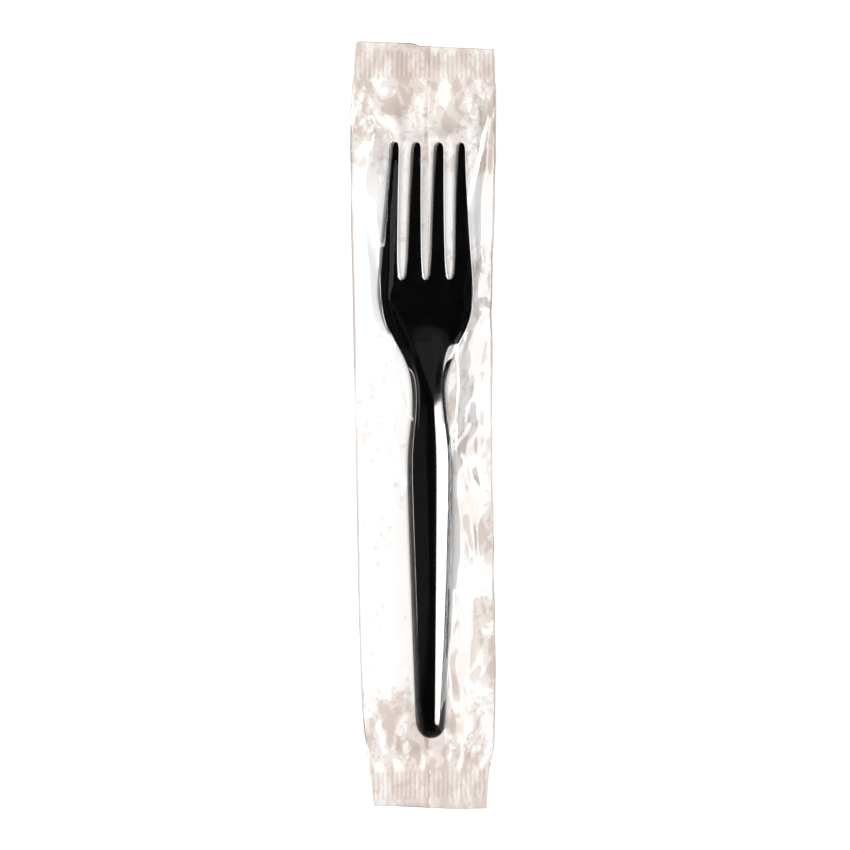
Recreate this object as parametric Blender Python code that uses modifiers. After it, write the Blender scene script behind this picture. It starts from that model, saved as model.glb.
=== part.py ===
"""A black plastic fork sealed in a clear film wrapper, lying flat with its tines towards +Y.

The fork is one moulding: a hollow arched handle, a narrow neck and a shallow dished head with four tines.
The wrapper is one web of film: folded round the fork, joined along its back by a fin that is folded flat,
and closed at both ends by ribbed crimp seals. Sizes are in millimetres here and become metres in to_metres.
"""

import math

import bmesh
import bpy

# Fork
FORK_LENGTH = 152.4
FORK_START = -80.8  # where the handle's end lies along the pack
FORK_TURN = math.radians(0.73)  # it lies a little askew in the wrapper
FORK_ASIDE = 0.62
FORK_FLOOR = 0.64  # the fork's lowest point, clear of the film below it
HANDLE_WALL = 1.2
HANDLE_ROUND = 3.3  # the rounding of the handle's end, seen from above
TINE_WALL = 2.7
NECK_START = 88.0  # distances from the handle's end over which the arched section becomes a plate
HEAD_START = 104.0
SLOT_START = 117.6
SLOT_ROW = 14  # the row of sections that the slots start from
TIP_START = 152.0
TIP_PINCH = 0.42  # how far the last row of each tine draws together, which rounds its tip
TINE_MIDDLES = (2.9, 8.5)

# Wrapper
FILM = 0.05
FILM_GAP = 0.05  # between the leaves of the folded fin
FIN_WIDTH = 9.0
SLEEVE_END = 88.9  # where the sleeve runs into its crimp seals, to each side of the middle
END_LIFT = 2.0  # the seals stand off the surface, near the middle of the fork's height
END_CREST = 0.5
CRIMP_START = 88.2
CRIMP_PITCH = 1.2
CRIMP_WAVE = 0.1  # half the height of a rib
CRIMP_SHEET = 0.2
CRIMP_ROOT = 0.6  # the thickness where the sleeve's layers run into a seal
CRIMP_MIDDLE = 2.26
CRIMP_OVERHANG = 0.25

# The fork's sections: distance from the handle's end, half width, height of the crown, drop of the edges below it.
FORK_SECTIONS = (
    (0.0, 3.6, 0.0, 0.0),
    (0.2, 3.7, 2.6, 2.6),
    (1.8, 3.85, 4.1, 3.9),
    (7.0, 4.1, 4.5, 3.9),
    (24.0, 4.65, 5.8, 3.9),
    (46.0, 5.4, 7.2, 3.9),
    (68.0, 6.05, 8.0, 3.8),
    (76.0, 5.75, 8.0, 3.5),
    (83.0, 4.6, 7.6, 3.1),
    (90.0, 4.2, 6.8, 2.7),
    (96.0, 5.2, 5.5, 1.6),
    (101.5, 8.1, 4.3, 0.4),
    (107.0, 11.2, 3.4, -0.3),
    (SLOT_START - 4.0, 12.15, 3.0, -0.6),
    (SLOT_START, 12.1, 3.0, -0.6),
    (128.0, 11.2, 3.9, -0.5),
    (141.0, 10.1, 6.0, -0.3),
    (149.0, 9.45, 7.9, -0.2),
    (151.3, 9.42, 8.45, -0.2),
    (FORK_LENGTH, 9.35, 8.7, -0.2),
)
# Across a section: the share of the half width and of the edges' drop, from the middle outwards.
ARCH = ((0.2, 0.0), (0.58, 0.12), (0.95, 0.4), (1.0, 1.0))
# Across the plate of the head, as far as the tines: the edges of the slots at their start and at the tips.
SLOT_ROOT = (1.2, 4.95, 7.5)
SLOT_TIPS = (1.98, 3.82, 7.6)

# The wrapper's outline: distance along the pack, left edge, right edge.
OUTLINE = (
    (-98.0, -13.6, 16.5),
    (-90.0, -14.1, 16.9),
    (-78.0, -15.1, 18.81),
    (-60.0, -16.0, 18.6),
    (-20.0, -16.9, 18.1),
    (20.0, -17.5, 18.3),
    (45.0, -18.2, 18.2),
    (62.0, -18.85, 18.85),
    (86.0, -18.7, 18.3),
    (98.0, -17.5, 18.1),
)
# How high the film stands over the fork: distance along the pack, height, squareness of the section.
CREST = (
    (-88.9, END_CREST, 2.0),
    (-86.0, 1.3, 2.0),
    (-80.6, 5.7, 2.3),
    (-74.0, 6.5, 2.2),
    (-40.0, 8.3, 2.1),
    (-8.0, 9.5, 2.1),
    (12.0, 9.0, 2.4),
    (27.0, 7.6, 3.4),
    (42.0, 7.6, 4.0),
    (60.0, 9.2, 4.0),
    (73.4, 10.6, 4.2),
    (76.0, 9.9, 3.6),
    (84.0, 2.4, 2.4),
    (88.9, END_CREST, 2.0),
)
TOP_EDGE = ((-19.0, 98.0), (-3.1, 98.0), (-1.0, 96.6), (19.0, 96.1))  # the upper cut edge steps down at a tuck
BOTTOM_EDGE = ((-14.0, -97.2), (17.0, -98.0))


def to_metres(*values):
    return tuple(value * 0.001 for value in values)


def blended(points, at, column=1, smooth=True):
    """The value in one column of a table of points at a place along it, eased between neighbours."""
    if at <= points[0][0]:
        return points[0][column]
    for low, high in zip(points, points[1:]):
        if at <= high[0]:
            share = (at - low[0]) / (high[0] - low[0])
            if smooth:
                share = share * share * (3 - 2 * share)
            return low[column] + (high[column] - low[column]) * share
    return points[-1][column]


def flowing(points, at, column=1):
    """As blended, but along a curve whose slope runs on through the points."""
    places = [point[0] for point in points]
    values = [point[column] for point in points]
    last = len(points) - 1
    at = min(max(at, places[0]), places[last])
    i = min(max(k for k in range(last + 1) if places[k] <= at), last - 1)

    def slope(k):
        a, b = max(k - 1, 0), min(k + 1, last)
        return (values[b] - values[a]) / (places[b] - places[a])

    span = places[i + 1] - places[i]
    s = (at - places[i]) / span
    return (
        values[i] * (1 + 2 * s) * (1 - s) ** 2
        + slope(i) * span * s * (1 - s) ** 2
        + values[i + 1] * s * s * (3 - 2 * s)
        + slope(i + 1) * span * s * s * (s - 1)
    )


def plastic(name, colour, roughness, alpha=1.0):
    material = bpy.data.materials.new(name)
    material.use_nodes = True
    shader = material.node_tree.nodes["Principled BSDF"]
    shader.inputs["Base Color"].default_value = (*colour, 1.0)
    shader.inputs["Roughness"].default_value = roughness
    shader.inputs["Metallic"].default_value = 0.0
    shader.inputs["Alpha"].default_value = alpha
    return material


def grid_object(name, columns, rows, place):
    """An object whose mesh is a grid of faces, each corner moved to place(column, row), in millimetres."""
    mesh = bpy.data.meshes.new(name)
    shape = bmesh.new()
    bmesh.ops.create_grid(shape, x_segments=columns, y_segments=rows, size=1.0)
    for corner in shape.verts:
        column = round((corner.co.x + 1) / 2 * columns)
        row = round((corner.co.y + 1) / 2 * rows)
        corner.co = to_metres(*place(column, row))
    shape.to_mesh(mesh)
    shape.free()
    made = bpy.data.objects.new(name, mesh)
    return made


def fork_corner(column, row):
    """A corner of the fork's cage. Columns run from edge to edge, and the inner ones bound the slots."""
    along, half, crown, drop = FORK_SECTIONS[row]
    side = -1 if column < 4 else 1
    rank = 3 - column if column < 4 else column - 4
    arch_x, arch_drop = ARCH[rank]
    plate_share = min(max((along - NECK_START) / (HEAD_START - NECK_START), 0.0), 1.0)
    slot_share = min(max((along - SLOT_START) / (FORK_LENGTH - SLOT_START), 0.0), 1.0)
    if rank < 3:
        plate_x = SLOT_ROOT[rank] + (SLOT_TIPS[rank] - SLOT_ROOT[rank]) * slot_share
        if along < SLOT_START:
            plate_x *= half / FORK_SECTIONS[SLOT_ROW][1]
        elif along > TIP_START:
            middle = TINE_MIDDLES[0] if rank < 2 else TINE_MIDDLES[1]
            plate_x = middle + (plate_x - middle) * TIP_PINCH
    else:
        plate_x = half
        if along > TIP_START:
            plate_x = TINE_MIDDLES[1] + (half - TINE_MIDDLES[1]) * TIP_PINCH
    x = arch_x * half * (1 - plate_share) + plate_x * plate_share
    plate_drop = (plate_x / half) ** 2
    z = crown - drop * (arch_drop * (1 - plate_share) + plate_drop * plate_share)
    rounded = HANDLE_ROUND * (1 - math.sqrt(1 - arch_x**2)) * max(1 - along / 5.0, 0.0)
    y = FORK_START + along + rounded
    x = side * x
    turned_x = x * math.cos(FORK_TURN) - y * math.sin(FORK_TURN)
    turned_y = x * math.sin(FORK_TURN) + y * math.cos(FORK_TURN)
    return turned_x + FORK_ASIDE, turned_y, FORK_FLOOR + z


def make_fork(material):
    rows = len(FORK_SECTIONS) - 1
    fork = grid_object("fork", 7, rows, fork_corner)
    mesh = fork.data
    corners = [(index % 8, index // 8) for index in range(8 * (rows + 1))]
    shape = bmesh.new()
    shape.from_mesh(mesh)
    slot_faces = []
    for face in shape.faces:
        places = [corners[corner.index] for corner in face.verts]
        in_gap = min(column for column, row in places) in (1, 3, 5)
        if in_gap and min(row for column, row in places) >= SLOT_ROW:
            slot_faces.append(face)
    bmesh.ops.delete(shape, geom=slot_faces, context="FACES")
    shape.to_mesh(mesh)
    shape.free()

    wall = fork.vertex_groups.new(name="wall")
    for corner in mesh.vertices:
        along = corner.co.y * 1000 - FORK_START
        share = min(max((along - 86.0) / 26.0, 0.0), 1.0)
        wall.add([corner.index], (HANDLE_WALL + (TINE_WALL - HANDLE_WALL) * share) / TINE_WALL, "REPLACE")

    rounding = fork.modifiers.new("form", "SUBSURF")
    rounding.levels = 2
    rounding.render_levels = 2
    thickness = fork.modifiers.new("wall", "SOLIDIFY")
    thickness.thickness = TINE_WALL * 0.001
    thickness.offset = -1.0
    thickness.vertex_group = wall.name
    thickness.use_even_offset = True
    mesh.materials.append(material)
    return fork


def sleeve_section(along):
    """The outer face of the film round the pack at one place, from the fin's upper leaf to its lower one."""
    left = flowing(OUTLINE, along, 1)
    right = flowing(OUTLINE, along, 2)
    crest = max(flowing(CREST, along, 1), END_CREST)
    square = blended(CREST, along, 2)
    rise = min(max((abs(along) - 78.0) / 9.6, 0.0), 1.0)
    lift = END_LIFT * rise * rise * (3 - 2 * rise)
    upper_leaf = FILM * 2 + FILM_GAP
    back = upper_leaf + FILM_GAP
    side = min(0.6, 0.17 + 0.12 * (crest - END_CREST))
    points = [(-FIN_WIDTH, upper_leaf), (-0.3, upper_leaf), (-0.02, upper_leaf)]
    points += [(0.0, upper_leaf + FILM_GAP / 2)]
    points += [(-0.02, back), (-0.3, back), (left / 2, back), (left + 1.2, back), (left + 0.4, back)]
    points += [(left + 0.12, back + side * 0.12), (left, back + side * 0.5)]
    steps = 18
    for step in range(1, steps):
        turn = math.cos(math.pi * step / steps)
        x = (left + right) / 2 - turn * (right - left) / 2
        edge = abs(turn)
        points.append((x, back + side + (crest - back - side) * (1 - edge**square)))
    points += [(right, (back + side) * 0.5), (right - 0.12, side * 0.12), (right - 0.4, 0.0)]
    points += [(right - 1.2, 0.0), (right / 2, 0.0), (0.5, 0.0), (-FIN_WIDTH, 0.0)]
    return [(x, z + lift) for x, z in points]


def sleeve_rows():
    """Places along the sleeve, closer together where the film comes down to its seals."""
    ends = [SLEEVE_END, 87.6, 86.2, 84.4, 82.4, 80.6, 78.2, 75.6, 73.4]
    middle = [-66.0 + 11.0 * step for step in range(13)]
    return sorted([-end for end in ends] + middle + ends)


def make_sleeve(material):
    rows = sleeve_rows()
    sections = [sleeve_section(along) for along in rows]

    def place(column, row):
        x, z = sections[row][column]
        return x, rows[row], z

    sleeve = grid_object("film_wrapper", len(sections[0]) - 1, len(rows) - 1, place)
    thickness = sleeve.modifiers.new("film", "SOLIDIFY")
    thickness.thickness = FILM * 0.001
    thickness.offset = -1.0
    thickness.use_even_offset = True
    sleeve.data.materials.append(material)
    return sleeve


def make_crimp(name, end, edge):
    """A crimp seal: the film's layers welded into one ribbed sheet, with a plain margin at the cut edge."""
    left = flowing(OUTLINE, end * 93.0, 1) - CRIMP_OVERHANG
    right = flowing(OUTLINE, end * 93.0, 2) + CRIMP_OVERHANG
    ribs = round((right - left) / CRIMP_PITCH)
    per_rib = 4
    columns = ribs * per_rib
    rows = (CRIMP_START, CRIMP_START + 0.9, CRIMP_START + 1.5, 94.6, 95.2, None)

    def place(column, row):
        share = column / columns
        outer = end * blended(edge, left + (right - left) * share, 1, smooth=False)
        along = end * (outer if rows[row] is None else rows[row])
        low = flowing(OUTLINE, along, 1) - CRIMP_OVERHANG
        high = flowing(OUTLINE, along, 2) + CRIMP_OVERHANG
        wave = CRIMP_WAVE * math.sin(2 * math.pi * column / per_rib + math.pi / 4)
        ribbed = 1.0 if row in (2, 3) else 0.0
        return low + (high - low) * share, along, CRIMP_MIDDLE + wave * ribbed

    crimp = grid_object(name, columns, len(rows) - 1, place)
    if end < 0:
        for face in crimp.data.polygons:
            face.flip()
    sheet = crimp.vertex_groups.new(name="sheet")
    for corner in crimp.data.vertices:
        at_root = abs(corner.co.y) * 1000 < CRIMP_START + 1.0
        sheet.add([corner.index], 1.0 if at_root else CRIMP_SHEET / CRIMP_ROOT, "REPLACE")
    thickness = crimp.modifiers.new("sheet", "SOLIDIFY")
    thickness.thickness = CRIMP_ROOT * 0.001
    thickness.offset = 0.0
    thickness.vertex_group = sheet.name
    return crimp


def weld(target, seals, collection):
    """Joins the crimp seals to the sleeve, so that the wrapper is one piece of film."""
    for seal in seals:
        collection.objects.link(seal)
        seal.hide_render = True
        seal.display_type = "WIRE"
        joint = target.modifiers.new(seal.name, "BOOLEAN")
        joint.operation = "UNION"
        joint.solver = "EXACT"
        joint.object = seal


def main():
    for thing in list(bpy.data.objects):
        bpy.data.objects.remove(thing)
    pack = bpy.data.collections.new("wrapped fork")
    helpers = bpy.data.collections.new("seals")
    bpy.context.scene.collection.children.link(pack)
    bpy.context.scene.collection.children.link(helpers)

    fork = make_fork(plastic("black polystyrene", (0.006, 0.006, 0.006), 0.16))
    sleeve = make_sleeve(plastic("clear film", (0.95, 0.94, 0.93), 0.12, alpha=0.3))
    pack.objects.link(fork)
    pack.objects.link(sleeve)
    seals = (make_crimp("upper seal", 1, TOP_EDGE), make_crimp("lower seal", -1, BOTTOM_EDGE))
    weld(sleeve, seals, helpers)


main()
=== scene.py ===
import math

import bpy
import numpy as np
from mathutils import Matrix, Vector, noise
from mathutils.bvhtree import BVHTree


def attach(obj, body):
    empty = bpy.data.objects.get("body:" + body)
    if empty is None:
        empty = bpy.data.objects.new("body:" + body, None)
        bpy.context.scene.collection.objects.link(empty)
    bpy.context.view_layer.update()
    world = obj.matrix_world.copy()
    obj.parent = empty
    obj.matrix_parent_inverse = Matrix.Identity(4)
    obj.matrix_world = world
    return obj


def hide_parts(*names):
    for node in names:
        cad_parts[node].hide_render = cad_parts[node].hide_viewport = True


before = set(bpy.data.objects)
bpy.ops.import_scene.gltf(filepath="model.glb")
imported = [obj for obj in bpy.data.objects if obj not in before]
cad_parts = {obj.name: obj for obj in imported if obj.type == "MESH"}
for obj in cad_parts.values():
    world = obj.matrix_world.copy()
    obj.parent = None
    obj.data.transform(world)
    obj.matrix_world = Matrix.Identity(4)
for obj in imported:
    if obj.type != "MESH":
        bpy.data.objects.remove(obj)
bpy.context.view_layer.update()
mm = 0.001


def deselectAll():
    if bpy.context.mode != "OBJECT":
        bpy.ops.object.mode_set(mode="OBJECT")
    bpy.ops.object.select_all(action="DESELECT")


def makeActive(piece):
    deselectAll()
    piece.select_set(True)
    bpy.context.view_layer.objects.active = piece


def eased(value):
    value = min(max(value, 0.0), 1.0)
    return value * value * (3 - 2 * value)


def flowing(points, at, column=1):  # a smooth curve through one column of a table
    last = len(points) - 1
    at = min(max(at, points[0][0]), points[last][0])
    i = min(max(k for k in range(last + 1) if points[k][0] <= at), last - 1)

    def slope(k):
        a, b = max(k - 1, 0), min(k + 1, last)
        return (points[b][column] - points[a][column]) / (points[b][0] - points[a][0])

    span = points[i + 1][0] - points[i][0]
    s = (at - points[i][0]) / span
    return (
        points[i][column] * (1 + 2 * s) * (1 - s) ** 2
        + slope(i) * span * s * (1 - s) ** 2
        + points[i + 1][column] * s * s * (3 - 2 * s)
        + slope(i + 1) * span * s * s * (s - 1)
    )


def addGrid(name, columns, rows):  # a flat grid, with each corner's column and row
    deselectAll()
    bpy.ops.mesh.primitive_grid_add(x_subdivisions=columns, y_subdivisions=rows, size=2.0)
    piece = bpy.context.object
    piece.name = name
    piece.data.name = name
    flat = np.empty(len(piece.data.vertices) * 3)
    piece.data.vertices.foreach_get("co", flat)
    flat = flat.reshape(-1, 3)
    column = np.rint((flat[:, 0] + 1) / 2 * columns).astype(int)
    row = np.rint((flat[:, 1] + 1) / 2 * rows).astype(int)
    return piece, column, row


def setCorners(mesh, corners):
    mesh.vertices.foreach_set("co", np.asarray(corners, dtype=np.float32).ravel())
    mesh.update()


def getCorners(mesh):
    corners = np.empty(len(mesh.vertices) * 3)
    mesh.vertices.foreach_get("co", corners)
    return corners.reshape(-1, 3)


def applyAll(piece):
    makeActive(piece)
    for modifier in list(piece.modifiers):
        bpy.ops.object.modifier_apply(modifier=modifier.name)


fork = {  # a cage of seven columns, four tines and three gaps between them
    "name": "fork_moulding",
    "start": -80.8,
    "turn": 0.0127,
    "aside": 0.62,
    "floor": 0.64,
    "handleWall": 1.2,
    "tineWall": 2.7,
    "neckStart": 88.0,
    "headStart": 104.0,
    "slotStart": 117.6,
    "length": 152.4,
    "endRound": 3.3,
    "sections": (  # along, half width, crown, drop of the edges
        (0.0, 3.6, 0.0, 0.0),
        (0.2, 3.7, 2.6, 2.6),
        (1.8, 3.85, 4.1, 3.9),
        (7.0, 4.1, 4.5, 3.9),
        (24.0, 4.65, 5.8, 3.9),
        (46.0, 5.4, 7.2, 3.9),
        (68.0, 6.05, 8.0, 3.8),
        (76.0, 5.75, 8.0, 3.5),
        (83.0, 4.6, 7.6, 3.1),
        (90.0, 4.2, 6.8, 2.7),
        (96.0, 5.2, 5.5, 1.6),
        (101.5, 8.1, 4.3, 0.4),
        (107.0, 11.2, 3.4, -0.3),
        (113.6, 12.15, 3.0, -0.3),
        (117.6, 12.1, 3.0, -0.25),
        (128.0, 11.2, 3.9, -0.15),
        (141.0, 10.1, 6.0, -0.15),
        (149.0, 9.45, 7.9, -0.2),
        (151.3, 9.42, 8.45, -0.2),
        (152.4, 9.35, 8.7, -0.2),
    ),
    "arch": ((0.2, 0.0), (0.56, 0.16), (0.92, 0.36), (1.0, 1.0)),
    "slotRoot": (1.2, 4.95, 7.5),
    "slotTips": (1.98, 3.82, 7.6),
    "edge": 0.2,
    "draft": 0.12,
}


def forkCorner(column, row):
    along, half, crown, drop = fork["sections"][row]
    side = -1 if column < 4 else 1
    rank = 3 - column if column < 4 else column - 4
    archX, archDrop = fork["arch"][rank]
    plate = min(max((along - fork["neckStart"]) / (fork["headStart"] - fork["neckStart"]), 0.0), 1.0)
    slot = min(max((along - fork["slotStart"]) / (fork["length"] - fork["slotStart"]), 0.0), 1.0)
    plateX = half
    if rank < 3:
        plateX = fork["slotRoot"][rank] + (fork["slotTips"][rank] - fork["slotRoot"][rank]) * slot
        if along < fork["slotStart"]:
            plateX *= half / fork["sections"][14][1]
    if along > 152:
        tineMiddle = 2.9 if rank < 2 else 8.5  # the tips are round
        plateX = tineMiddle + (plateX - tineMiddle) * 0.42
    x = archX * half * (1 - plate) + plateX * plate
    z = crown - drop * (archDrop * (1 - plate) + (plateX / half) ** 2 * plate)
    rounded = fork["endRound"] * (1 - math.sqrt(1 - archX**2)) * max(1 - along / 5.0, 0.0)
    y = fork["start"] + along + rounded
    x = side * x
    return x + fork["aside"] - y * fork["turn"], y + x * fork["turn"], fork["floor"] + z


def buildFork(levels=3):
    rows = len(fork["sections"]) - 1
    piece, column, row = addGrid(fork["name"], 7, rows)
    corners = [forkCorner(c, r) for c, r in zip(column, row)]
    setCorners(piece.data, np.array(corners) * mm)
    bpy.ops.object.mode_set(mode="EDIT")
    bpy.ops.mesh.select_mode(type="FACE")
    bpy.ops.mesh.select_all(action="DESELECT")
    bpy.ops.object.mode_set(mode="OBJECT")
    for face in piece.data.polygons:
        columns = sorted(column[v] for v in face.vertices)
        rowsHere = sorted(row[v] for v in face.vertices)
        face.select = columns[0] in (1, 3, 5) and rowsHere[0] >= 14  # the three gaps between the tines
    bpy.ops.object.mode_set(mode="EDIT")
    bpy.ops.mesh.delete(type="FACE")
    bpy.ops.object.mode_set(mode="OBJECT")
    wall = piece.vertex_groups.new(name="wall")
    for corner in piece.data.vertices:
        share = min(max((corner.co.y / mm - fork["start"] - 86.0) / 26.0, 0.0), 1.0)
        thick = fork["handleWall"] + (fork["tineWall"] - fork["handleWall"]) * share
        wall.add([corner.index], thick / fork["tineWall"], "REPLACE")
    form = piece.modifiers.new("form", "SUBSURF")
    form.levels = levels
    form.render_levels = levels
    shell = piece.modifiers.new("shell", "SOLIDIFY")
    shell.thickness = fork["tineWall"] * mm
    shell.offset = -1.0
    shell.vertex_group = "wall"
    shell.use_even_offset = True
    edges = piece.modifiers.new("edges", "BEVEL")
    edges.width = fork["edge"] * mm
    edges.segments = 2
    edges.limit_method = "ANGLE"
    edges.angle_limit = math.radians(60)
    applyAll(piece)
    giveDraft(piece)
    bpy.ops.object.shade_smooth()
    return piece


def giveDraft(piece):  # side walls lean out towards the underside, as a moulding's do
    corners = getCorners(piece.data) / mm
    for corner in corners:
        across = corner[0] - fork["aside"] + corner[1] * fork["turn"]
        reach = corner[1] - across * fork["turn"] - fork["start"]
        if reach < 98:
            continue
        half = flowing(fork["sections"], reach, 1)
        crown = fork["floor"] + flowing(fork["sections"], reach, 2)
        top = crown - flowing(fork["sections"], reach, 3) * (across / half) ** 2
        depth = max(top - corner[2] - 0.25, 0.0)
        if reach < fork["slotStart"]:
            push = (across / half) ** 3
        else:
            share = (reach - fork["slotStart"]) / (fork["length"] - fork["slotStart"])
            inner = 3.07 + (2.9 - 3.07) * share
            outer = 9.8 + (8.5 - 9.8) * share
            middle = math.copysign(inner if abs(across) < (inner + outer) / 2 else outer, across)
            push = min(max((across - middle) / (2.1 - 1.3 * share), -1.0), 1.0)
        corner[0] += push * depth * fork["draft"] * eased((reach - 98) / 8)
    setCorners(piece.data, corners * mm)


forkPiece = buildFork()
print("fork", len(forkPiece.data.polygons), "faces")

film = {  # one web with a strip for the fin at each side, folded round the fork
    "name": "film_sleeve",
    "fin": 9.0,
    "round": 79.0,  # the sleeve's girth
    "half": 98.0,
    "step": 1.0,
    "crimpAt": 89.0,
    "seam": 1.5,
    "endLift": 2.2,
    "sideLift": 1.8,
    "outline": (
        (-98.0, -13.6, 16.4),
        (-90.0, -14.6, 17.0),
        (-78.0, -16.0, 19.3),
        (-60.0, -17.1, 19.3),
        (-20.0, -17.9, 19.0),
        (20.0, -18.4, 19.1),
        (45.0, -19.1, 19.1),
        (62.0, -19.5, 19.4),
        (86.0, -19.3, 18.7),
        (98.0, -18.5, 18.3),
    ),
    "crest": (
        (-98.0, 0.35),
        (-88.9, 0.4),
        (-86.0, 2.1),
        (-80.6, 6.2),
        (-74.0, 6.9),
        (-40.0, 8.7),
        (-8.0, 9.9),
        (12.0, 9.4),
        (27.0, 8.0),
        (42.0, 8.0),
        (60.0, 9.6),
        (73.4, 10.9),
        (76.0, 10.2),
        (84.0, 3.4),
        (88.9, 0.4),
        (98.0, 0.35),
    ),
    "girth": ((-98.0, 67.0), (-89.0, 69.0), (-72.0, 78.6), (70.0, 78.6), (89.0, 76.0), (98.0, 76.0)),
    "frames": 36,
}


def sectionPath(along):  # from the hairpin at the fin, round the fork and back under it
    left = flowing(film["outline"], along, 1)
    right = flowing(film["outline"], along, 2)
    crest = max(flowing(film["crest"], along), 0.35)
    low = 0.3
    lift = film["endLift"] * eased((abs(along) - 76.0) / 13.0)
    side = min(film["sideLift"], 0.05 + 0.4 * (crest - 0.35))
    path = [(film["seam"], low), (left / 2, low), (left + 0.6, low + side * 0.4), (left, low + side * 0.7)]
    middle = 1.1
    flat = 6.5 if along < 15 else 6.5 + 4.5 * eased((along - 15) / 15)
    flat *= eased((crest - 0.35) / 3.0)
    if crest > 0.5:
        path += [(left + 0.5, low + side), (middle - flat, crest), (middle + flat, crest), (right - 0.5, low + side)]
    else:
        path += [(left + 0.5, low + side), (right - 0.5, low + side)]
    path += [(right, low + side * 0.7 - 0.1), (right - 0.6, 0.15 + side * 0.4), (right / 2, 0.15), (film["seam"], 0.15)]
    points = np.array(path)
    points[:, 1] += lift
    lengths = np.concatenate([[0], np.cumsum(np.hypot(*np.diff(points, axis=0).T))])
    return points, lengths / lengths[-1]


def webPlace(u, along):  # where a place on the web starts, u across and along in millimetres
    lift = film["endLift"] * eased((abs(along) - 76.0) / 13.0)
    if u < film["fin"]:
        return u - film["fin"] + film["seam"], along, 0.12 + lift
    if u > film["fin"] + film["round"]:
        return film["fin"] + film["round"] - u + film["seam"], along, 0.04 + lift
    points, shares = sectionPath(along)
    share = (u - film["fin"]) / film["round"]
    return np.interp(share, shares, points[:, 0]), along, np.interp(share, shares, points[:, 1])


def buildFilm():
    width = film["round"] + 2 * film["fin"]
    columns = int(width / film["step"])
    rows = int(2 * film["half"] / film["step"])
    piece, column, row = addGrid(film["name"], columns, rows)
    us = column * width / columns
    alongs = row * 2 * film["half"] / rows - film["half"]
    start = np.array([webPlace(u, v) for u, v in zip(us, alongs)])
    web = piece.data.uv_layers.active or piece.data.uv_layers.new(name="web")
    for loop in piece.data.loops:
        web.data[loop.index].uv = (us[loop.vertex_index] * 0.01, alongs[loop.vertex_index] * 0.01)
    return settleFilm(piece, us, alongs, start), us, alongs


def settleFilm(piece, us, alongs, start):  # at ten times the size, as collision distances suit larger things
    scale = 0.01
    setCorners(piece.data, start * scale)
    piece.shape_key_add(name="start")
    rest = piece.shape_key_add(name="rest")
    girths = np.array([np.interp(v, [p[0] for p in film["girth"]], [p[1] for p in film["girth"]]) for v in alongs])
    turn = (us - film["fin"]) / film["round"] * 2 * math.pi
    inSleeve = (turn >= 0) & (turn <= 2 * math.pi)
    radius = girths / (2 * math.pi)
    restPlace = np.column_stack([-radius * np.sin(turn), alongs, radius * (1 - np.cos(turn)) + 0.2])
    restPlace[~inSleeve] = start[~inSleeve]
    for i, point in enumerate(restPlace * scale):
        rest.data[i].co = point
    pins = piece.vertex_groups.new(name="pins")
    held = (np.abs(alongs) > film["crimpAt"]) | ~inSleeve | (us < film["fin"] + 1.5) | (us > film["fin"] + film["round"] - 1.5)
    pins.add([int(i) for i in np.nonzero(held)[0]], 1.0, "REPLACE")

    colliderPiece = forkPiece.copy()
    colliderPiece.data = forkPiece.data.copy()
    bpy.context.scene.collection.objects.link(colliderPiece)
    setCorners(colliderPiece.data, getCorners(forkPiece.data) / mm * scale)
    deselectAll()
    bpy.ops.mesh.primitive_plane_add(size=6, location=(0, 0, 0.0))
    ground = bpy.context.object
    for thing, outer in ((colliderPiece, 0.002), (ground, 0.001)):
        collision = thing.modifiers.new("collision", "COLLISION")
        thing.collision.thickness_outer = outer
        thing.collision.cloth_friction = 8
        thing.collision.damping = 0.4

    cloth = piece.modifiers.new("cloth", "CLOTH")
    settings = cloth.settings
    settings.quality = 8
    settings.mass = 0.05
    settings.air_damping = 3.0
    settings.tension_stiffness = 40
    settings.compression_stiffness = 40
    settings.shear_stiffness = 20
    settings.bending_stiffness = 0.06
    settings.tension_damping = 8
    settings.compression_damping = 8
    settings.shear_damping = 8
    settings.bending_damping = 0.5
    settings.vertex_group_mass = "pins"
    settings.pin_stiffness = 50
    settings.rest_shape_key = rest
    settings.effector_weights.gravity = 0.15
    cloth.collision_settings.use_collision = True
    cloth.collision_settings.collision_quality = 3
    cloth.collision_settings.distance_min = 0.002
    cloth.collision_settings.use_self_collision = False
    scene = bpy.context.scene
    scene.frame_start = 1
    scene.frame_end = film["frames"]
    cloth.point_cache.frame_start = 1
    cloth.point_cache.frame_end = film["frames"]
    for step in range(1, film["frames"] + 1):
        scene.frame_set(step)
    settled = piece.evaluated_get(bpy.context.evaluated_depsgraph_get())
    places = getCorners(settled.data) / scale
    makeActive(piece)
    piece.modifiers.remove(cloth)
    piece.shape_key_clear()
    for helper in (colliderPiece, ground):
        bpy.data.objects.remove(helper)
    scene.frame_set(1)
    setCorners(piece.data, places * mm)
    return piece


def trimEnds(piece):  # the upper cut steps down at a tuck, the lower one is skew
    corners = getCorners(piece.data) / mm
    for corner in corners:
        if corner[1] > film["crimpAt"]:
            drop = 0.67 * eased((corner[0] + 3.6) / 2.4) + 0.015 * max(corner[0], 0) + 0.03
            drop += 0.9 * eased((-corner[0] - 16.6) / 1.9) ** 2
            corner[1] -= drop * (corner[1] - film["crimpAt"]) / 9.0
        elif corner[1] < -film["crimpAt"]:
            lift = 1.5 * eased((12 - corner[0]) / 26.0) - 0.9
            corner[1] += lift * (-corner[1] - film["crimpAt"]) / 9.0
    setCorners(piece.data, corners * mm)


crumple = {
    "bend": (2.2, 0.12, 0.08),  # how far the pattern wanders, and how quickly across and along
    "slant": 0.3,
    "squash": 0.45,
    "sizes": ((3.9, 0.34), (1.9, 0.13)),  # cell in millimetres, height of its creases
    "ends": (60.0, 86.0),
    "calm": 0.12,  # what is left of it where the film is drawn over the fork
}


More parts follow.
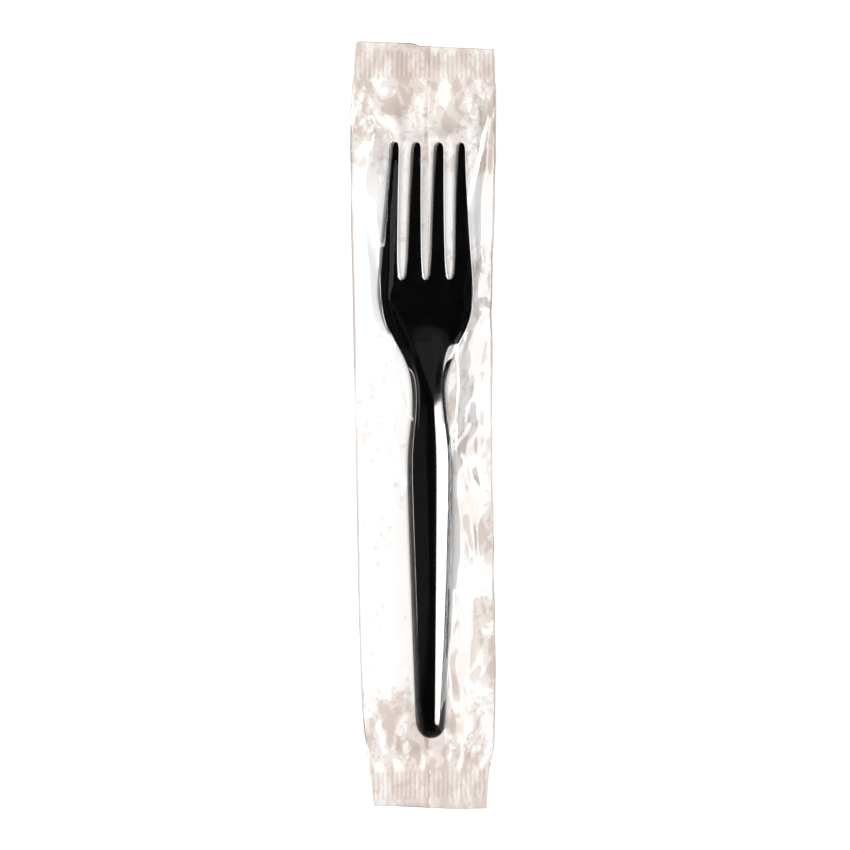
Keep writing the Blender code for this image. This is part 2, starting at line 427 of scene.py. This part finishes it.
def forkHalf(along):  # half the fork's width at a place along the pack
    reach = along - fork["start"]
    if reach < 0 or reach > fork["length"]:
        return 0.0
    return flowing(fork["sections"], reach, 1)


def crumpleFilm(piece):  # creases the film and paints shade into it as darker patches and fold lines
    mesh = piece.data
    corners = getCorners(mesh) / mm
    normals = np.empty(len(mesh.vertices) * 3)
    mesh.vertices.foreach_get("normal", normals)
    normals = normals.reshape(-1, 3)
    uvs = np.empty(len(mesh.loops) * 2)
    mesh.uv_layers.active.data.foreach_get("uv", uvs)
    owners = np.empty(len(mesh.loops), dtype=np.int64)
    mesh.loops.foreach_get("vertex_index", owners)
    web = np.zeros((len(mesh.vertices), 2))
    web[owners] = uvs.reshape(-1, 2) * 100
    paintedShade = np.zeros(len(mesh.vertices))
    wander, quickAcross, quickAlong = crumple["bend"]
    for i, (u, v) in enumerate(web):
        x, y = corners[i][0], corners[i][1]
        bend = noise.noise_vector(Vector((u * quickAcross, v * quickAlong, 3.1))) * wander
        fine = noise.noise_vector(Vector((u * 0.5, v * 0.4, 7.7))) * 0.35
        across = u + bend.x + fine.x + crumple["slant"] * v
        along = (v + bend.y + fine.y) * crumple["squash"]
        # painted shade: darker patches and cell borders, strongest towards the ends and on the right side
        patch = eased((noise.noise(Vector((u * 0.07, v * 0.045, 9.0))) + 0.12) * 3.2)
        ends = eased((abs(y) - crumple["ends"][0]) / (crumple["ends"][1] - crumple["ends"][0]))
        right = eased((x - 2.0) / 9.0)
        endShade = 0.85 if y > 0 else 0.62
        region = min(endShade * ends + 0.8 * right * patch + 0.14 * patch + 0.12, 1.0)
        middle = fork["aside"] - y * fork["turn"]
        clear = eased((abs(x - middle) - forkHalf(y) - 0.2) / 2.0)
        height = 0.0
        shade = 0.0
        for k, (size, rise) in enumerate(crumple["sizes"]):
            reach, points = noise.voronoi(Vector((across / size, along / size, 0.5 + k)))
            pick = math.sin(points[0].x * 12.9898 + points[0].y * 78.233) * 43758.5453
            pick -= math.floor(pick)
            height += rise * reach[0]
            border = 1 - eased((reach[1] - reach[0]) / 0.15)
            shade = max(shade, eased((pick - 0.72) / 0.1), border * (1.1 if pick > 0.55 else 0.15))
        paintedShade[i] = shade * region
        if abs(y) < film["crimpAt"] - 0.6:
            corners[i] += normals[i] * height * region * (crumple["calm"] + (1 - crumple["calm"]) * clear)
    corners[:, 2] = np.maximum(corners[:, 2], 0.03)
    setCorners(mesh, corners * mm)
    rowOf = np.rint(web[:, 1] * 2).astype(int)
    for rowHere in np.unique(rowOf):  # painted shade: a dark line along the folds down both sides
        members = np.nonzero(rowOf == rowHere)[0]
        across = corners[members, 0]
        inset = np.minimum(across - across.min(), across.max() - across)
        paintedShade[members] = np.maximum(paintedShade[members], 1.1 * (inset < 0.28))
    # the painted shade, kept for the film's material
    mesh.attributes.new("paintedShade", "FLOAT", "POINT").data.foreach_set("value", paintedShade.astype(np.float32))


def clearFork(piece, gap=0.12):  # lifts the film off the fork where creases would meet it
    surface = BVHTree.FromObject(forkPiece, bpy.context.evaluated_depsgraph_get())
    corners = getCorners(piece.data) / mm
    moved = 0
    for i, corner in enumerate(corners):
        place = Vector(corner) * mm
        spot, normal, face, distance = surface.find_nearest(place, 1.5 * mm)
        if spot is None:
            continue
        offset = place - spot
        inside = offset.dot(normal) < -0.02 * mm
        if distance < gap * mm or inside:
            away = normal if inside or distance < 0.02 * mm else offset.normalized()
            corners[i] = (spot + away * gap * mm) / mm
            moved += 1
    corners[:, 2] = np.maximum(corners[:, 2], 0.03)
    setCorners(piece.data, corners * mm)
    print("film cleared", moved, "corners off the fork")


filmPiece, us, alongs = buildFilm()
print("film settled", len(filmPiece.data.polygons), "faces")
makeActive(filmPiece)
finer = filmPiece.modifiers.new("finer", "SUBSURF")
finer.levels = 1
finer.render_levels = 1
applyAll(filmPiece)
crumpleFilm(filmPiece)
clearFork(filmPiece)
trimEnds(filmPiece)
bpy.ops.object.shade_smooth()
print("film creased", len(filmPiece.data.polygons), "faces")


def plasticMaterial():
    material = bpy.data.materials.new("black_polystyrene")
    material.use_nodes = True
    nodes, links = material.node_tree.nodes, material.node_tree.links
    shader = nodes["Principled BSDF"]
    place = nodes.new("ShaderNodeTexCoord")
    grain = nodes.new("ShaderNodeTexNoise")
    grain.inputs["Scale"].default_value = 260
    grain.inputs["Detail"].default_value = 4
    rough = nodes.new("ShaderNodeMapRange")
    rough.inputs["To Min"].default_value = 0.06
    rough.inputs["To Max"].default_value = 0.11
    tone = nodes.new("ShaderNodeMix")
    tone.data_type = "RGBA"
    tone.inputs["A"].default_value = (0.0012, 0.0012, 0.0014, 1)
    tone.inputs["B"].default_value = (0.0032, 0.003, 0.0032, 1)
    links.new(place.outputs["Object"], grain.inputs["Vector"])
    links.new(grain.outputs["Fac"], rough.inputs["Value"])
    links.new(grain.outputs["Fac"], tone.inputs["Factor"])
    links.new(rough.outputs["Result"], shader.inputs["Roughness"])
    links.new(tone.outputs["Result"], shader.inputs["Base Color"])
    shader.inputs["IOR"].default_value = 1.5
    return material


def mathNode(tree, operation, first, second=0.0, clamp=False):  # on two sockets or numbers
    node = tree.nodes.new("ShaderNodeMath")
    node.operation = operation
    node.use_clamp = clamp
    for slot, value in ((0, first), (1, second)):
        if isinstance(value, (int, float)):
            node.inputs[slot].default_value = value
        else:
            tree.links.new(value, node.inputs[slot])
    return node.outputs["Value"]


def ramp(tree, value, low, high):  # nought to one, smoothly, as value goes from low to high
    node = tree.nodes.new("ShaderNodeMapRange")
    node.interpolation_type = "SMOOTHSTEP"
    node.inputs["From Min"].default_value = low
    node.inputs["From Max"].default_value = high
    tree.links.new(value, node.inputs["Value"])
    return node.outputs["Result"]


look = {
    "tint": (0.994, 0.991, 0.989, 1),
    # the colour that the film is darkened towards where shade is painted
    "shadeTint": (0.86, 0.815, 0.79, 1),
    "shine": 0.5,
    "ior": 1.48,
    "rough": (0.03, 0.09),
    "ribs": 833,  # per metre
    "ribHeight": 0.00004,
}


def filmMaterial():
    material = bpy.data.materials.new("clear_film")
    material.use_nodes = True
    tree = material.node_tree
    nodes, links = tree.nodes, tree.links
    nodes.remove(nodes["Principled BSDF"])
    place = nodes.new("ShaderNodeTexCoord").outputs["Object"]
    split = nodes.new("ShaderNodeSeparateXYZ")
    links.new(place, split.inputs["Vector"])
    fromMiddle = mathNode(tree, "ABSOLUTE", split.outputs["Y"])
    sealed = ramp(tree, fromMiddle, 0.0885, 0.0893)
    plain = ramp(tree, fromMiddle, 0.0955, 0.0962)
    ribbed = mathNode(tree, "MULTIPLY", sealed, mathNode(tree, "SUBTRACT", 1.0, plain))
    wander = nodes.new("ShaderNodeTexNoise")
    wander.inputs["Scale"].default_value = 120
    links.new(place, wander.inputs["Vector"])
    across = mathNode(tree, "ADD", split.outputs["X"], mathNode(tree, "MULTIPLY", wander.outputs["Fac"], 0.0009))
    wave = mathNode(tree, "SINE", mathNode(tree, "MULTIPLY", across, look["ribs"] * 2 * math.pi))
    ribs = mathNode(tree, "MULTIPLY", wave, ribbed)
    bump = nodes.new("ShaderNodeBump")
    bump.inputs["Distance"].default_value = look["ribHeight"]
    links.new(ribs, bump.inputs["Height"])

    web = nodes.new("ShaderNodeUVMap")
    webSplit = nodes.new("ShaderNodeSeparateXYZ")
    links.new(web.outputs["UV"], webSplit.inputs["Vector"])
    finEdge = film["fin"] * 0.01
    roundEdge = finEdge + film["round"] * 0.01
    nearSide = mathNode(tree, "LESS_THAN", webSplit.outputs["X"], finEdge - 0.002)
    farSide = mathNode(tree, "GREATER_THAN", webSplit.outputs["X"], roundEdge + 0.002)
    outOfFin = mathNode(tree, "SUBTRACT", 1.0, mathNode(tree, "ADD", nearSide, farSide))
    toWeld = mathNode(tree, "ABSOLUTE", mathNode(tree, "SUBTRACT", webSplit.outputs["X"], finEdge - 0.009))
    weld = mathNode(tree, "SUBTRACT", 1.0, ramp(tree, toWeld, 0.005, 0.009))
    # painted shade: a line along the cut ends of the web
    cut = ramp(tree, mathNode(tree, "ABSOLUTE", webSplit.outputs["Y"]), 0.9765, 0.9785)

    # painted shade where the film turns steep, more along its outer sides
    upright = nodes.new("ShaderNodeSeparateXYZ")
    links.new(nodes.new("ShaderNodeNewGeometry").outputs["Normal"], upright.inputs["Vector"])
    flatness = mathNode(tree, "ABSOLUTE", upright.outputs["Z"])
    rim = mathNode(tree, "SUBTRACT", 1.0, ramp(tree, flatness, 0.05, 0.55))
    outer = ramp(tree, mathNode(tree, "ABSOLUTE", split.outputs["X"]), 0.0125, 0.0135)
    rim = mathNode(tree, "MULTIPLY", rim, mathNode(tree, "ADD", mathNode(tree, "MULTIPLY", outer, 1.2), 1.0))

    # painted shade: the noted patches and fold lines, made ragged by noise, with a darker base over the crimps
    noted = nodes.new("ShaderNodeAttribute")
    noted.attribute_name = "paintedShade"
    crinkle = nodes.new("ShaderNodeTexNoise")
    crinkle.inputs["Scale"].default_value = 620
    crinkle.inputs["Detail"].default_value = 2
    links.new(place, crinkle.inputs["Vector"])
    ragged = mathNode(tree, "MULTIPLY", mathNode(tree, "SUBTRACT", crinkle.outputs["Fac"], 0.5), 0.9)
    crisp = ramp(tree, mathNode(tree, "ADD", noted.outputs["Fac"], ragged), 0.3, 0.42)
    sealsAndShade = mathNode(tree, "MULTIPLY", crisp, mathNode(tree, "SUBTRACT", 0.55, mathNode(tree, "MULTIPLY", sealed, 0.3)))
    sealsAndShade = mathNode(tree, "ADD", sealsAndShade, mathNode(tree, "MULTIPLY", noted.outputs["Fac"], 0.3))
    sealsAndShade = mathNode(tree, "ADD", sealsAndShade, mathNode(tree, "MULTIPLY", sealed, 0.16))
    # painted shade on one half of each crimp rib
    sealsAndShade = mathNode(tree, "ADD", sealsAndShade, mathNode(tree, "MULTIPLY", mathNode(tree, "MAXIMUM", ribs, 0.0), 0.36))
    leafShare = mathNode(tree, "ADD", mathNode(tree, "MULTIPLY", outOfFin, 0.9), 0.1)
    sealsAndShade = mathNode(tree, "MULTIPLY", sealsAndShade, leafShare)
    # painted shade at steep turns and along the cut ends; the weld line is the seal's own mark
    for part, share in ((weld, 0.5), (rim, 1.4), (cut, 0.9)):
        sealsAndShade = mathNode(tree, "ADD", sealsAndShade, mathNode(tree, "MULTIPLY", part, share))
    # the film's own slight tint, darkened towards the shade colour by the painted shade and the weld line
    tint = nodes.new("ShaderNodeMix")
    tint.data_type = "RGBA"
    tint.inputs["A"].default_value = look["tint"]
    tint.inputs["B"].default_value = look["shadeTint"]
    links.new(mathNode(tree, "MINIMUM", sealsAndShade, 3.4), tint.inputs["Factor"])
    tint.clamp_factor = False
    clear = nodes.new("ShaderNodeBsdfTransparent")
    links.new(tint.outputs["Result"], clear.inputs["Color"])

    gloss = nodes.new("ShaderNodeBsdfGlossy")
    gloss.inputs["Color"].default_value = (1, 1, 1, 1)
    rough = nodes.new("ShaderNodeMapRange")
    rough.inputs["To Min"].default_value = look["rough"][0]
    rough.inputs["To Max"].default_value = look["rough"][1]
    links.new(wander.outputs["Fac"], rough.inputs["Value"])
    links.new(rough.outputs["Result"], gloss.inputs["Roughness"])
    links.new(bump.outputs["Normal"], gloss.inputs["Normal"])
    mirrored = nodes.new("ShaderNodeFresnel")
    mirrored.inputs["IOR"].default_value = look["ior"]
    links.new(bump.outputs["Normal"], mirrored.inputs["Normal"])
    shine = mathNode(tree, "MULTIPLY", leafShare, look["shine"])
    mixed = nodes.new("ShaderNodeMixShader")
    links.new(mathNode(tree, "MULTIPLY", mirrored.outputs["Fac"], shine, True), mixed.inputs["Fac"])
    links.new(clear.outputs["BSDF"], mixed.inputs[1])
    links.new(gloss.outputs["BSDF"], mixed.inputs[2])
    links.new(mixed.outputs["Shader"], nodes["Material Output"].inputs["Surface"])
    return material


def areaLight(name, place, aim, size, power, colour=(1, 1, 1)):
    data = bpy.data.lights.new(name, "AREA")
    data.shape = "RECTANGLE"
    data.size, data.size_y = size
    data.energy = power
    data.color = colour
    lamp = bpy.data.objects.new(name, data)
    bpy.context.scene.collection.objects.link(lamp)
    lamp.location = place
    lamp.rotation_euler = (Vector(aim) - Vector(place)).to_track_quat("-Z", "Y").to_euler()
    return lamp


forkPiece.data.materials.clear()
forkPiece.data.materials.append(plasticMaterial())
filmPiece.data.materials.clear()
filmPiece.data.materials.append(filmMaterial())
for piece, node in ((forkPiece, "fork"), (filmPiece, "film_wrapper")):
    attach(piece, "root")
    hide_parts(node)
print("pieces placed")

scene = bpy.context.scene
scene.view_settings.view_transform = "Standard"
scene.cycles.transparent_max_bounces = 32
world = bpy.data.worlds.new("studio")
scene.world = world
world.use_nodes = True
world.node_tree.nodes["Background"].inputs["Color"].default_value = (1.0, 1.0, 1.0, 1)
world.node_tree.nodes["Background"].inputs["Strength"].default_value = 0.12
world.cycles_visibility.glossy = False

bpy.ops.mesh.primitive_plane_add(size=4, location=(0, 0, 0))
floor = bpy.context.object
floor.name = "floor"
paper = bpy.data.materials.new("floor_paper")
paper.use_nodes = True
paper.node_tree.nodes["Principled BSDF"].inputs["Base Color"].default_value = (0.86, 0.86, 0.86, 1)
paper.node_tree.nodes["Principled BSDF"].inputs["Roughness"].default_value = 0.9
floor.data.materials.append(paper)

studio = (  # name, place, size, watts, seen in the gloss, lights the floor
    ("top", (-0.48, 0.0, 2.7), (0.9, 0.9), 87.0, False, True),
    ("fill", (0.8, -0.2, 0.9), (0.9, 0.9), 0.3, False, True),
    ("key", (-0.75, 0.55, 0.85), (0.6, 0.6), 1.8, True, True),
    ("rightPanel", (0.395, -0.08, 0.451), (0.44, 0.362), 16.5, True, False),
    ("rightSheen", (0.395, -0.08, 0.451), (0.44, 0.362), 0.8, True, False),
    ("rightGlint", (0.564, -0.08, 0.205), (0.44, 0.2), 4.0, True, False),
    ("leftPanel", (-0.35, -0.05, 0.5), (0.35, 0.6), 0.08, True, False),
    ("neckPanel", (0.12, 0.40, 0.65), (0.6, 0.33), 0.14, True, False),
    ("side", (-0.62, 0.05, 0.16), (0.5, 0.08), 2.5, True, False),
)
receivers = {}
for name, piece in (("rightPanel", forkPiece), ("rightSheen", filmPiece), ("rightGlint", filmPiece)):
    receivers[name] = bpy.data.collections.new(name)  # these lamps are seen in one piece only
    receivers[name].objects.link(piece)
for name, place, size, power, inGloss, onFloor in studio:
    aim = (0, place[1], 0) if name.startswith("right") else (0, 0, 0)
    lamp = areaLight(name, place, aim, size, power)
    lamp.visible_glossy = inGloss
    lamp.visible_diffuse = onFloor
    if name in receivers:
        lamp.light_linking.receiver_collection = receivers[name]
print("studio lit")

lens = bpy.data.cameras.new("camera")
lens.lens = 90
camera = bpy.data.objects.new("camera", lens)
scene.collection.objects.link(camera)
tilt = math.radians(10)
away = 0.548
camera.location = (0.0003 - math.sin(tilt) * away, 0, math.cos(tilt) * away)
camera.rotation_euler = (0, -tilt, 0)
scene.camera = camera
